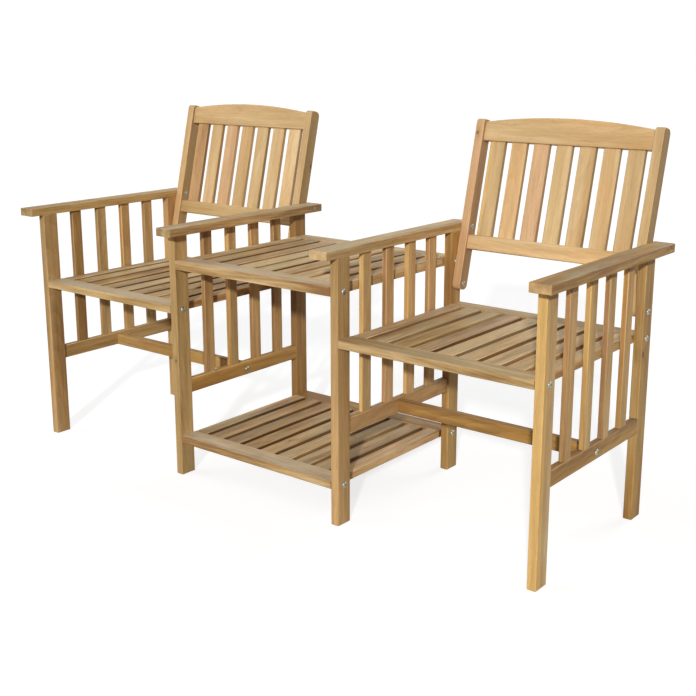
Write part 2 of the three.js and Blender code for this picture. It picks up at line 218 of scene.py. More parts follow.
# What a board looks like: how much lighter than its group, and its lean from amber (-0.65) by
# olive (0), plain (0.35) and orange (0.65) to mauve (1)
MOODS = {
    "tan": (0.00, 0.36),
    "pale": (0.15, 0.40),
    "straw": (0.11, 0.08),
    "olive": (-0.05, 0.00),
    "orange": (-0.03, 0.66),
    "mauve": (-0.05, 1.00),
    "brown": (-0.14, 0.50),
    "dark": (-0.30, 0.58),
    "apricot": (0.12, 0.60),
    "peach": (0.24, 0.62),
    "light": (0.32, 0.40),
    "blond": (0.52, 0.45),
    "umber": (-0.50, -0.30),
    "amber": (-0.18, -0.60),
    "gold": (0.02, -0.45),
    "fawn": (-0.12, 0.36),
    "dusky": (-0.42, 0.90),
    "smoke": (-0.46, 0.40),
    "toffee": (-0.20, -0.22),
}


def by_group(groups, **parts):
    """The moods of like boards, each part's from group to group."""
    return {
        f"{group}_{part}": mood
        for part, moods in parts.items()
        for group, mood in zip(groups, moods)
    }


# The mood of each board: for slatted pieces the rail's, then its slats'. After a stroke, the
# painted shade and dirt that its narrow sides get, in tenths, where that isn't the plain amount.
# After a second one, how much of its width is sapwood, in hundredths
BOARDS = {
    **by_group(
        [f"{chair}_chair_{side}" for chair, side in SIDE_FRAMES],
        front_leg=("brown", "olive", "orange", "pale//42"),
        # The left chair's right rear leg is umber: painted shade from the table above it
        rear_leg=("brown", "umber", "toffee", "toffee"),
        armrest=("toffee", "smoke", "pale", "toffee"),
        slatted_side_rail=(
            "toffee/0 umber/3 pale/4 orange/6/12 tan/3",
            "amber/0 dark/2 fawn/4/14 orange/4 brown/4",
            "orange/0 tan/0/10 apricot/4 apricot/1/22 orange/2",
            "toffee/0 orange/3 tan/2/30 peach/6 apricot/5/20",
        ),
    ),
    **by_group(
        PANELS,
        front_rail=("straw", "fawn", "dark", "dark"),
        left_board=("tan/8", "mauve/6", "brown/6", "brown/9"),
        right_board=("orange/2", "tan/0", "tan/1", "orange/1"),
        slatted_rear_rail=(
            "pale/2 olive/7 umber/8 brown/10 light/10 brown/9 tan/2 orange/9",
            "olive/2 tan/6 olive/5 mauve/9/8 blond/8 light/9 light/6 orange/4",
            "tan/2 brown/9 mauve/6 light/6 light/10 pale/4 light/2 peach/3",
            # The shelf's rear rail is umber: painted shade under the table top
            "umber/5 dark/8 dark/10 brown/10 pale/8 pale/7 tan/4 dark/6",
        ),
    ),
    **by_group(
        [f"{chair}_chair" for chair in CHAIRS],
        # Amber and gold stretchers: painted warm shade under the seats
        stretcher=("gold/0", "amber/0"),
        back_left_stile=("tan", "mauve"),
        back_right_stile=("tan", "fawn"),
        back_top_rail=("tan", "tan"),
        back_bottom_rail=("tan", "peach"),
        back_slat_=(
            "dusky/5 tan/8 mauve/0 fawn/0 tan/10 pale/6 light/9",
            "tan/6/14 apricot/7 mauve/7 straw/8 tan/8 pale/9 tan/9",
        ),
    ),
}
# Plain amount of painted shade and dirt on narrow sides, in tenths
PLAIN_DIRT_AND_SHADE = 7

# Knots: place across, through and along the board from its middle, and radius
KNOTS = {
    "right_chair_right_rear_leg 0": (-0.014, 0.0108, 0.085, 0.0055),
    "left_chair_right_front_leg 0": (-0.0218, 0.002, -0.009, 0.0028),
    "left_chair_left_front_leg 0": (0.006, -0.0108, -0.110, 0.0050),
    "right_chair_left_rear_leg 0": (0.010, -0.0108, -0.160, 0.0045),
    "right_chair_back_left_stile 0": (-0.0175, -0.003, 0.176, 0.0034),
    "left_chair_back_right_stile 0": (0.0120, 0.0114, 0.060, 0.0040),
    "right_chair_back_top_rail 0": (-0.006, 0.0115, 0.090, 0.0055),
    "right_chair_left_armrest 0": (0.009, 0.0100, 0.110, 0.0036),
    "left_chair_left_armrest 0": (-0.010, 0.0100, -0.060, 0.0045),
    "left_seat_slatted_rear_rail 5": (-0.008, 0.0095, -0.090, 0.0044),
    "table_top_slatted_rear_rail 1": (0.007, 0.0112, 0.020, 0.0040),
    "table_shelf_slatted_rear_rail 4": (-0.006, 0.0095, -0.100, 0.0046),
}
# Where a board without a knot has one: far outside it
NO_KNOT = (9.0, 9.0, 9.0, 0.1)
KNOT_STRETCH = 1.7


def number(name, description, default, kind=FloatProperty, **limits):
    """A setting that a user can change."""
    return kind(name=name, description=description, default=default, **limits)


length = partial(number, min=0.0, precision=4, unit="LENGTH")
angle = partial(number, subtype="ANGLE")
share = partial(number, min=0.0, max=1.0, subtype="FACTOR")
strength = partial(number, min=0.0)
count = partial(number, kind=IntProperty, min=1)
vector = partial(number, kind=FloatVectorProperty)
point = partial(vector, subtype="TRANSLATION", unit="LENGTH")
colour = partial(vector, min=0.0, max=1.0, subtype="COLOR")


class BenchSizes(bpy.types.PropertyGroup):
    """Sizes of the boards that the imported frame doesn't give by itself"""

    arris: length("Arris", "Rounding of a board's long edges", 0.0022)
    panel_arris: length("Panel arris", "Rounding of a panel board's edges", 0.0014)
    arm_arris: length("Armrest arris", "Rounding of an armrest's edges", 0.0014)
    arm_corner: length("Armrest corner", "Rounding of an armrest's corners", 0.0025)
    side_rail_height: length("Side rail height", "Height of a lower side rail", 0.0365)
    side_slat_width: length("Side slat width", "Width of a slat under an armrest", 0.031)
    side_slat_thickness: length("Side slat thickness", "Thickness of that slat", 0.0125)
    side_slat_count: count("Side slats", "Slats under an armrest", 4)
    panel_rail_width: length("Panel rail width", "Width of a panel's front and rear rail", 0.052)
    panel_slat_width: length("Panel slat width", "Width of a slat of a seat or table", 0.042)
    panel_board_trim: length("Board trim", "Side board narrower than its solid", 0.0025)
    panel_slat_count: count("Panel slats", "Slats between the boards of a panel", 7)
    back_lean: angle("Lean", "How far the backrests lean back", math.radians(13.7))
    back_bolt_rise: length("Lower bolt height", "Lower backrest bolt above the seat", 0.0515)
    stile_depth: length("Stile depth", "Depth of a stile, front to back", 0.035)
    stile_below_bolt: length("Stile foot", "Stile below its lower bolt", 0.015)
    stile_above_bolt: length("Stile length", "Stile above its lower bolt", 0.4075)
    stile_foot_radius: length("Foot radius", "Rounding of a stile's foot", 0.014)
    stile_front_radius: length("Top front radius", "Rounding of a stile's top in front", 0.010)
    stile_back_radius: length("Top back radius", "Rounding of a stile's top behind", 0.013)
    top_rail_bottom: length("Top rail place", "Top rail above the lower bolt", 0.3545)
    top_rail_height: length("Top rail height", "Height of the top rail's ends", 0.0465)
    top_rail_rise: length("Arch", "Rise of the top rail's arch", 0.0159)
    bottom_rail_bottom: length("Bottom rail place", "Bottom rail above the lower bolt", 0.086)
    bottom_rail_height: length("Bottom rail height", "Height of the bottom rail", 0.037)
    back_rail_thickness: length("Back rail thickness", "Thickness of both back rails", 0.023)
    back_slat_thickness: length("Back slat thickness", "Thickness of a back slat", 0.0125)
    housing: length("Housing", "How far a slat's end goes in", 0.004)


class BenchWood(bpy.types.PropertyGroup):
    """Colours and finish of the oiled hardwood"""

    shade: colour("Shade", "Darkest heartwood", (0.290, 0.160, 0.064))
    honey: colour("Honey", "Common colour of the boards", (0.460, 0.292, 0.122))
    tan: colour("Tan", "Lighter boards", (0.610, 0.412, 0.198))
    straw: colour("Straw", "Palest boards", (0.780, 0.572, 0.315))
    sapwood: colour("Sapwood", "Golden strip along some boards", (0.800, 0.500, 0.170))
    knot: colour("Knot", "Middle of a knot", (0.110, 0.050, 0.020))
    # Painted sheen: the grey that upward faces are mixed with
    sheen_grey: colour("Top sheen", "Grey sheen painted on tops", (0.455, 0.418, 0.268))
    gloss: share("Gloss", "How much the oil reflects", 0.24)
    relief: share("Relief", "Depth of the grain to the touch", 0.35)


class BenchBolts(bpy.types.PropertyGroup):
    """Sizes and colour of the zinc-plated bolts"""

    head_radius: length("Head radius", "Radius of a domed head", 0.0069)
    sunk_head_radius: length("Sunk head radius", "Radius of a head in an armrest", 0.0068)
    head_height: length("Head height", "Height of the dome", 0.0034)
    socket_radius: length("Socket", "Corner radius of the hexagon socket", 0.0026)
    socket_depth: length("Socket depth", "Depth of the hexagon socket", 0.0022)
    nut_radius: length("Nut radius", "Radius of a sleeve nut's flange", 0.0056)
    nut_height: length("Nut height", "Height of that flange", 0.0018)
    recess_radius: length("Recess radius", "Recess for a head in an armrest's edge", 0.0072)
    recess_depth: length("Recess depth", "Depth of that recess", 0.0050)
    zinc: colour("Zinc", "Colour of the plating", (0.360, 0.395, 0.330))


class BenchStage(bpy.types.PropertyGroup):
    """Floor, light and camera"""

    floor: colour("Floor", "Colour of the floor", (0.4, 0.4, 0.4))
    floor_glow: share("Floor glow", "What the camera sees on top of the lit floor", 0.76)
    floor_size: length("Floor size", "Side of the square floor", 60.0)
    floor_bounce: colour("Floor bounce", "Floor as the bench's light meets it", (0.30, 0.25, 0.18))
    sky: share("Sky", "Light from all over the sky", 0.12)
    key: strength("Key", "Strength of the key sun", 2.50)
    fill: strength("Fill", "Strength of the left sun", 1.00)
    back: strength("Back", "Strength of the sun behind", 1.15)
    camera_place: point("Camera place", "Where the camera stands", (1.7535, -2.1002, 1.0662))
    camera_turn: angle("Camera turn", "Turn of the camera about the vertical", math.radians(38.28))
    camera_dip: angle("Camera dip", "How far the camera looks down", math.radians(13.72))
    camera_lens: number("Lens", "Focal length", 57.9, min=1.0, unit="CAMERA")
    camera_shift: vector("Shift", "Shift of the lens", (-0.0076, -0.0441), size=2)


# Boards


def axis_edges(bm, axis):
    """The edges that run along one axis."""
    runs = {edge: edge.verts[1].co - edge.verts[0].co for edge in bm.edges}
    return [edge for edge, run in runs.items() if abs(run.normalized()[axis]) > ALIGNED]


def rounded(bm, edges, radius, steps=ARRIS_STEPS):
    """Rounds some edges."""
    bmesh.ops.bevel(
        bm,
        geom=edges,
        offset=radius,
        offset_type="OFFSET",
        segments=steps,
        profile=0.5,
        affect="EDGES",
        material=-1,
        clamp_overlap=True,
    )
    bm.normal_update()


def cuboid(low, high):
    """A plain block between two corners."""
    bm = bmesh.new()
    size = high - low
    place = Matrix.Translation((low + high) / 2) @ Matrix.Diagonal((*size, 1.0))
    bmesh.ops.create_cube(bm, size=1.0, matrix=place)
    bm.normal_update()
    return bm


def rim_edges(bm, axis):
    """The edges round the two faces that look along one axis."""
    chosen = []
    for edge in bm.edges:
        facing = sorted(abs(face.normal[axis]) for face in edge.link_faces)
        if len(facing) == 2 and facing[0] < FACING and facing[1] > ALIGNED:
            chosen.append(edge)
    return chosen


def stamp(bm, along, low, high, look, plate=None):
    """Writes on each vertex its place along the grain, the board's own values, and its wear with a
    painted highlight on rounded edges.
    """
    layers = bm.verts.layers
    grain, own, worn, knot = (
        layers.float_vector.new(name) for name in ("grain", "board", "worn", "knot")
    )
    dirt = layers.float.new("dirt")
    middle = (low + high) / 2
    size = high - low
    others = [axis for axis in range(3) if axis != along]
    across, through = sorted(others, key=lambda axis: -size[axis])
    bm.normal_update()
    broad = {}
    for face in bm.faces:
        lined_up = max(abs(part) for part in face.normal) > ALIGNED
        face.smooth = not lined_up
        broad[face] = lined_up
        if plate is not None:
            broad[face] = not EDGE_ON <= abs(face.normal[plate]) <= ALIGNED
    sap_edge = (look["sap"] - 0.5) * size[across]
    if look["sap"] == 0.0:
        sap_edge -= size[across]
    *spot, radius = look["knot"]
    for vert in bm.verts:
        offset = vert.co - middle
        offset = Vector((offset[across], offset[through], offset[along]))
        vert[grain] = offset
        vert[own] = (look["seed"], look["tone"], sap_edge)
        faces = [face for face in vert.link_faces if broad[face]]
        cut = bool(faces) and all(abs(face.normal[along]) > FACING for face in faces)
        vert[worn] = (0.0 if faces else 1.0, 1.0 if cut else 0.0, look["lean"])
        # How much painted shade and dirt the narrow sides get
        vert[dirt] = look["dirt"]
        away = (offset - Vector(spot)) / radius
        vert[knot] = (away.x, away.y, away.z / KNOT_STRETCH)


def board(along, low, high, look, radius, ends=False):
    """A straight board with rounded edges, its grain along one axis."""
    bm = cuboid(low, high)
    rounded(bm, bm.edges[:] if ends else axis_edges(bm, along), radius)
    stamp(bm, along, low, high, look)
    return bm


def look_of(group, tone, index=0):
    """A board's own seed, tone, lean, sapwood, painted side shade and dirt, and knot, the same at
    every run.
    """
    name = f"{group} {index}"
    mood, dirt, sap = f"{BOARDS[group].split()[index]}//".split("/")[:3]
    lighter, lean = MOODS[mood]
    return {
        "seed": random.Random(name).random(),
        "tone": TONES[tone] + lighter,
        "lean": lean,
        "sap": int(sap or 0) / 100,
        "dirt": int(dirt or PLAIN_DIRT_AND_SHADE) / 10,
        "knot": KNOTS.get(name, NO_KNOT),
    }


def placed(name, bm, material):
    """Makes an object of a mesh and puts it in the scene."""
    mesh = bpy.data.meshes.new(name)
    bm.to_mesh(mesh)
    bm.free()
    mesh.materials.append(material)
    made = bpy.data.objects.new(name, mesh)
    bpy.context.scene.collection.objects.link(made)
    return made


def piece(name, parts, material):
    """Joins some boards or bolts into one object that rides on the bench."""
    whole = bmesh.new()
    for part in parts:
        loose = bpy.data.meshes.new(name)
        part.to_mesh(loose)
        part.free()
        whole.from_mesh(loose)
        bpy.data.meshes.remove(loose)
    made = placed(name, whole, material)
    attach(made, ROOT)
    return made


def wooden(node, boards, slot, finish=None):
    """Puts some boards in the place of one solid of the frame."""
    made = piece(f"{node}.wood", boards, oiled_wood(finish or slot))
    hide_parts(node)


def spaced(low, high, number, width):
    """Both ends of each of some pieces of one width, with equal gaps between two ends."""
    gap = (high - low - number * width) / (number + 1)
    starts = [low + gap + index * (gap + width) for index in range(number)]
    return [(start, start + width) for start in starts]


# Finishes


class Tree:
    """A short way to add nodes to a material or a world and to link them."""

    def __init__(self, owner):
        owner.use_nodes = True
        self.owner = owner
        self.nodes = owner.node_tree.nodes
        self.links = owner.node_tree.links
        self.nodes.clear()

    def put(self, node, socket, value):
        if isinstance(value, bpy.types.NodeSocket):
            self.links.new(value, node.inputs[socket])
        else:
            node.inputs[socket].default_value = value

    def add(self, kind, inputs=None, **settings):
        node = self.nodes.new(f"ShaderNode{kind}")
        for key, value in settings.items():
            setattr(node, key, value)
        for socket, value in (inputs or {}).items():
            self.put(node, socket, value)
        return node

    def out(self, kind, inputs=None, socket=0, **settings):
        return self.add(kind, inputs, **settings).outputs[socket]

    def attribute(self, name, socket="Vector"):
        return self.out("Attribute", None, socket, attribute_name=name)

    def parts(self, vector):
        return tuple(self.add("SeparateXYZ", {0: vector}).outputs)

    def vector(self, x, y, z):
        return self.out("CombineXYZ", {0: x, 1: y, 2: z})

    def math(self, operation, *values, clamp=False):
        inputs = dict(enumerate(values))
        return self.out("Math", inputs, operation=operation, use_clamp=clamp)

    def times(self, a, b, clamp=False):
        return self.math("MULTIPLY", a, b, clamp=clamp)

    def line(self, value, slope, start):
        return self.math("MULTIPLY_ADD", value, slope, start)

    def drawn(self, seed, stride, spread, start):
        """Another number for the same board."""
        return self.line(self.math("FRACT", self.times(seed, stride)), spread, start)

    def vectors(self, operation, a, b=(0.0, 0.0, 0.0), socket=0):
        return self.out("VectorMath", {0: a, 1: b}, socket, operation=operation)

    def plus(self, a, b):
        return self.vectors("ADD", a, b)

    def scaled(self, vector, sizes):
        return self.vectors("MULTIPLY", vector, sizes)

    def noise(self, vector, stretch, detail=2.0, roughness=0.5, socket="Fac"):
        inputs = {"Vector": self.scaled(vector, stretch), "Scale": 1.0}
        return self.out("TexNoise", {**inputs, "Detail": detail, "Roughness": roughness}, socket)

    def between(self, value, low, high, to_low=0.0, to_high=1.0):
        inputs = {0: value, 1: low, 2: high, 3: to_low, 4: to_high}
        return self.out("MapRange", inputs, interpolation_type="SMOOTHSTEP")

    def ramp(self, value, stops):
        node = self.add("ValToRGB", {0: value})
        elements = node.color_ramp.elements
        while len(elements) < len(stops):
            elements.new(1.0)
        for element, (position, tint) in zip(elements, stops):
            element.position = position
            element.color = (*tint, 1.0)
        return node.outputs[0]

    def mixed(self, share_of_b, a, b, blend="MIX"):
        node = self.add("Mix", {0: share_of_b}, data_type="RGBA", blend_type=blend)
        for socket, value in ((6, a), (7, b)):
            linked = isinstance(value, bpy.types.NodeSocket)
            self.put(node, socket, value if linked else (*value, 1.0))
        return node.outputs[2]

    def tinted(self, a, b):
        return self.mixed(1.0, a, b, "MULTIPLY")

    def surface(self, tint, rough, bump, more):
        """Ends a material in one surface, and returns it."""
        inputs = {"Base Color": tint, "Roughness": rough, "Normal": self.out("Bump", bump)}
        self.add("OutputMaterial", {0: self.out("BsdfPrincipled", {**inputs, **more})})
        return self.owner


def oiled_wood(kind):
    """Oiled hardwood that follows each board's own grain."""
    name = f"oiled_{kind}"
    if name in bpy.data.materials:
        return bpy.data.materials[name]
    wood = bpy.context.scene.bench_wood
    finish = FINISHES[kind]
    tree = Tree(bpy.data.materials.new(name))

    def noise(vector, layer, socket="Fac"):
        across, along, detail, roughness = NOISES[layer]
        return tree.noise(vector, (across, across, along), detail, roughness, socket)

    def push(vector, layer):
        """A push either way that changes from place to place."""
        return tree.vectors("SUBTRACT", noise(vector, layer, "Color"), (0.5, 0.5, 0.5))

    def span(value, name, *most):
        return tree.between(value, *SPANS[name], *most)

    def covered(below, mark, amount, above):
        return tree.mixed(tree.times(amount, COVERS[mark]), below, above)

    place = tree.attribute("grain")
    seed, tone, sap_edge = tree.parts(tree.attribute("board"))
    arris, cut, lean = tree.parts(tree.attribute("worn"))

    # The board's own part of the tree, swayed a little along its length
    own = tree.plus(place, tree.scaled(tree.vector(seed, seed, seed), SEED_STRIDE))
    sway = tree.scaled(push(own, "sway"), (SWAY, SWAY, 0.0))
    swayed = tree.plus(place, sway)

    # A knot pulls the grain round itself
    knot_place = tree.plus(tree.attribute("knot"), push(own, "knot_rim"))
    far = tree.vectors("LENGTH", knot_place, socket="Value")
    core = span(far, "core")
    halo = span(far, "halo")
    pull = tree.vector(tree.times(halo, KNOT_PULL), 0.0, 0.0)
    bent = tree.plus(tree.plus(own, sway), pull)

    # Rings round the middle of the trunk, which lies outside the board and at a slant to it
    slant, beside, below, end = (tree.drawn(seed, *draw) for draw in DRAWS.values())
    lift = tree.vector(0.0, tree.times(tree.parts(place)[Z], slant), 0.0)
    ring_place = swayed
    for step in (tree.vector(beside, below, 0.0), pull, lift):
        ring_place = tree.plus(ring_place, step)
    rings = tree.out(
        "TexWave",
        {"Vector": tree.scaled(ring_place, RING_STRETCH), **RINGS},
        "Fac",
        wave_type="RINGS",
        rings_direction="Z",
        wave_profile="SAW",
    )

    # Broad bands, figure, streaks, fibres and pores, finer and finer
    layers = {layer: noise(bent, layer) for layer in BANDS if layer != "rings"}
    layers["rings"] = rings
    layers["pores"] = pores = span(noise(bent, "pores"), "pores")
    bands = 0.0
    for layer, weight in BANDS.items():
        bands = tree.line(tree.math("SUBTRACT", layers[layer], 0.5), weight, bands)
    level = tree.line(bands, finish.contrast, tone)
    tones = (wood.shade, wood.honey, wood.tan, wood.straw)
    tint = tree.ramp(level, list(zip(TONE_PLACES, tones)))

    # Some boards lean to olive, others to orange or mauve, and each drifts a little
    lean = tree.line(tree.math("SUBTRACT", noise(own, "drift"), 0.5), DRIFT, lean)
    tint = tree.tinted(tint, tree.ramp(tree.line(lean, *LEAN_PLACE), LEAN_TINTS))

    # Golden sapwood along one edge
    inside = tree.math("SUBTRACT", sap_edge, tree.parts(swayed)[X])
    golden = tree.tinted(wood.sapwood, tree.ramp(layers["streak"], SAPWOOD_TINTS))
    tint = covered(tint, "sapwood", span(inside, "sapwood"), golden)

    # Knots, pores, flecks, cut ends, and rubbed edges with a painted highlight
    tint = covered(tint, "halo", halo, wood.shade)
    tint = covered(tint, "core", core, wood.knot)
    tint = covered(tint, "pores", pores, wood.shade)
    flecks = span(noise(bent, "flecks"), "flecks", finish.contrast)
    tint = covered(tint, "flecks", flecks, wood.shade)
    end_tint = tree.tinted(tint, tree.ramp(noise(own, "rays"), RAY_TINTS))
    own_end = tree.ramp(end, ((0.15, DARK_END), (0.85, wood.straw)))
    tint = covered(tint, "cut", cut, tree.mixed(OWN_END, end_tint, own_end))
    rub_and_highlight = tree.times(arris, span(noise(own, "rub_and_highlight"), "rub_and_highlight"))
    tint = covered(tint, "rub_and_highlight", rub_and_highlight, tree.tinted(tint, RUB_AND_HIGHLIGHT_TINT))

    # The narrow sides of slats get painted shade and dirt, and tops get a painted grey sheen in
    # blotches
    normal = tree.parts(tree.out("NewGeometry", None, "Normal"))
    facing = tree.math("ABSOLUTE", normal[finish.narrow])
    # Painted shade and dirt darken the faces that look along the narrow axis
    side_shade_and_dirt = span(facing, "side", finish.darker)
    side_shade_and_dirt = tree.times(side_shade_and_dirt, tree.attribute("dirt", "Fac"), clamp=True)
    tint = tree.mixed(side_shade_and_dirt, tint, tree.tinted(tint, finish.dirty))
    # Painted grey sheen on tops, in blotches
    blotch = noise(own, "blotch")
    top = span(normal[Z], "top")
    sheen_grey = tree.times(top, finish.weathered)
    for part in (span(blotch, "blotch"), span(lean, "olive")):
        sheen_grey = tree.times(sheen_grey, part)
    tint = tree.mixed(sheen_grey, tint, wood.sheen_grey)
    # Front rails' tops get a painted pale sheen in blotches
    if finish.silver:
        pale = span(blotch, "silver")
        tint = tree.mixed(tree.times(tree.times(top, finish.silver), pale), tint, PALE_SHEEN)

    rough = tree.line(cut, CUT_ROUGH, tree.line(layers["fibre"], FIBRE_ROUGH, ROUGH))
    height = layers["fibre"]
    for layer, weight in HEIGHTS.items():
        height = tree.line(layers[layer], weight, height)
    bump = {"Strength": wood.relief, "Distance": GRAIN_DEPTH, "Height": height}
    return tree.surface(tint, rough, bump, {"Specular IOR Level": wood.gloss})


def zinc_plating():
    """Dull zinc with faint clouds and fine scratches."""
    zinc = bpy.context.scene.bench_bolts.zinc
    tree = Tree(bpy.data.materials.new("zinc_plating"))
    place = tree.out("TexCoord", None, "Object")
    cloud = tree.noise(place, ZINC_CLOUDS, 3.0)
    scratch = tree.noise(place, ZINC_SCRATCHES)
    dark, light = (tuple(part * change for part in zinc) for change in ZINC_CHANGES)
    tint = tree.ramp(cloud, ((0.3, dark), (0.7, light)))
    rough = tree.line(scratch, *ZINC_ROUGH)
    return tree.surface(tint, rough, {**ZINC_BUMP, "Height": scratch}, {"Metallic": 1.0})


# Places that several pieces share


def centre(node):
    """The middle of a node's box."""
    low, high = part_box(node)
    return (low + high) / 2


def side_faces(node, side):
    """The inner and the outer face of a node at one side of a chair, along X."""
    low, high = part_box(node)
    return (high.x, low.x) if side == "left" else (low.x, high.x)


def arm_underside(chair, side):
    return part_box(f"{chair}_chair_{side}_armrest")[0].z


def lower_bolt(chair):
    """Middle of the lower backrest bolt's axis: the point that a backrest leans about."""
    seat = f"{chair}_seat_front_rail"
    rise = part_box(seat)[1].z + bpy.context.scene.bench_sizes.back_bolt_rise
    return Vector((centre(seat).x, centre(f"{chair}_chair_left_rear_leg").y, rise))


def leaned(bm, chair):
    """Leans a piece that was made upright about the lower bolt, and puts it on its chair."""
    sizes = bpy.context.scene.bench_sizes
    turn = Matrix.Rotation(-sizes.back_lean, 4, "X")
    place = Matrix.Translation(lower_bolt(chair)) @ turn
    bmesh.ops.transform(bm, matrix=place, verts=bm.verts)
    bm.normal_update()
    return bm


# Side frames


class BENCH_OT_legs(bpy.types.Operator):
    """Make the front and rear legs of both chairs"""

    bl_idname = "bench.legs"
    bl_label = "Legs"

    def execute(self, context):
        sizes = context.scene.bench_sizes
        for chair, side in SIDE_FRAMES:
            for end in ("front", "rear"):
                node = f"{chair}_chair_{side}_{end}_leg"
                low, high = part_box(node)
                high.z = arm_underside(chair, side)
                leg = board(Z, low, high, look_of(node, "leg"), sizes.arris, ends=True)
                wooden(node, [leg], "leg_wood")
        return {"FINISHED"}


class BENCH_OT_armrests(bpy.types.Operator):
    """Make the armrests, with a recess for the backrest bolt in the outer edge"""

    bl_idname = "bench.armrests"
    bl_label = "Armrests"

    def execute(self, context):
        for chair, side in SIDE_FRAMES:
            node = f"{chair}_chair_{side}_armrest"
            wooden(node, [self.armrest(context, chair, side, node)], "armrest_wood")
        return {"FINISHED"}

    def armrest(self, context, chair, side, node):
        sizes = context.scene.bench_sizes
        low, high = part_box(node)
        bm = cuboid(low, high)
        rounded(bm, axis_edges(bm, Z), sizes.arm_corner, CORNER_STEPS)
        rounded(bm, rim_edges(bm, Z), sizes.arm_arris)
        outward = -1.0 if side == "left" else 1.0
        self.recess(context, bm, outward, arm_bolt(chair, side))
        stamp(bm, Y, low, high, look_of(node, "armrest"), plate=Z)
        return bm

    def recess(self, context, bm, outward, spot):
        """A round recess in the long outer edge of an armrest."""
        bolts = context.scene.bench_bolts
        radius = bolts.recess_radius
        for way in (-1, 1):
            face = self.edge_face(bm, outward, spot.y)
            bmesh.ops.bisect_plane(
                bm,
                geom=[face, *face.edges, *face.verts],
                plane_co=(0.0, spot.y + way * radius, 0.0),
                plane_no=(0.0, 1.0, 0.0),
            )
            bm.normal_update()
        patch = self.edge_face(bm, outward, spot.y)
        bmesh.ops.subdivide_edges(bm, edges=patch.edges[:], cuts=RECESS_CUTS)
        patch = self.edge_face(bm, outward, spot.y)
        bmesh.ops.inset_individual(bm, faces=[patch], thickness=RECESS_RING)
        for vert in patch.verts:
            turn = math.atan2(vert.co.z - spot.z, vert.co.y - spot.y)
            vert.co.y = spot.y + radius * RECESS_SHARE * math.cos(turn)
            vert.co.z = spot.z + radius * RECESS_SHARE * math.sin(turn)
        grown = bmesh.ops.extrude_discrete_faces(bm, faces=[patch])["faces"][0]
        inward = Vector((-outward * bolts.recess_depth, 0.0, 0.0))
        bmesh.ops.translate(bm, vec=inward, verts=grown.verts[:])
        bm.normal_update()

    def edge_face(self, bm, outward, place):
        """The flat face of the outer edge at one place along the armrest."""
        for face in bm.faces:
            run = [vert.co.y for vert in face.verts]
            if face.normal.x * outward > ALIGNED and min(run) < place < max(run):
                return face
        raise RuntimeError("no flat outer edge there")


def arm_bolt(chair, side):
    """Middle of the upper backrest bolt where it meets the armrest's outer edge."""
    node = f"{chair}_chair_{side}_armrest"
    bolt = lower_bolt(chair)
    height = centre(node).z
    back = bolt.y + (height - bolt.z) * math.tan(bpy.context.scene.bench_sizes.back_lean)
    return Vector((side_faces(node, side)[1], back, height))


class BENCH_OT_side_rails(bpy.types.Operator):
    """Make the lower side rails and the slats that stand on them"""

    bl_idname = "bench.side_rails"
    bl_label = "Side Rails And Slats"

    def execute(self, context):
        for chair, side in SIDE_FRAMES:
            node = f"{chair}_chair_{side}_slatted_side_rail"
            wooden(node, self.boards(context, chair, side, node), "side_wood")
        return {"FINISHED"}

    def boards(self, context, chair, side, node):
        sizes = context.scene.bench_sizes
        low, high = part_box(node)
        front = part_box(f"{chair}_chair_{side}_front_leg")[1].y
        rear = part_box(f"{chair}_chair_{side}_rear_leg")[0].y
        rail_top = low.z + sizes.side_rail_height
        corners = Vector((low.x, front, low.z)), Vector((high.x, rear, rail_top))
        made = [board(Y, *corners, look_of(node, "side_rail"), sizes.arris)]
        middle = (low.x + high.x) / 2
        half = sizes.side_slat_thickness / 2
        bottom = rail_top - sizes.housing
        top = arm_underside(chair, side) + sizes.housing
        slats = spaced(front, rear, sizes.side_slat_count, sizes.side_slat_width)
        for index, (near, far) in enumerate(slats, 1):
            corners = Vector((middle - half, near, bottom)), Vector((middle + half, far, top))
            made.append(board(Z, *corners, look_of(node, "side_slat", index), sizes.arris))
        return made


class BENCH_OT_stretchers(bpy.types.Operator):
    """Make the stretcher under each seat"""

    bl_idname = "bench.stretchers"
    bl_label = "Stretchers"

    def execute(self, context):
        sizes = context.scene.bench_sizes
        for chair in CHAIRS:
            node = f"{chair}_chair_stretcher"
            bar = board(X, *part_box(node), look_of(node, "stretcher"), sizes.arris)
            wooden(node, [bar], "side_wood")
        return {"FINISHED"}


# Slatted panels


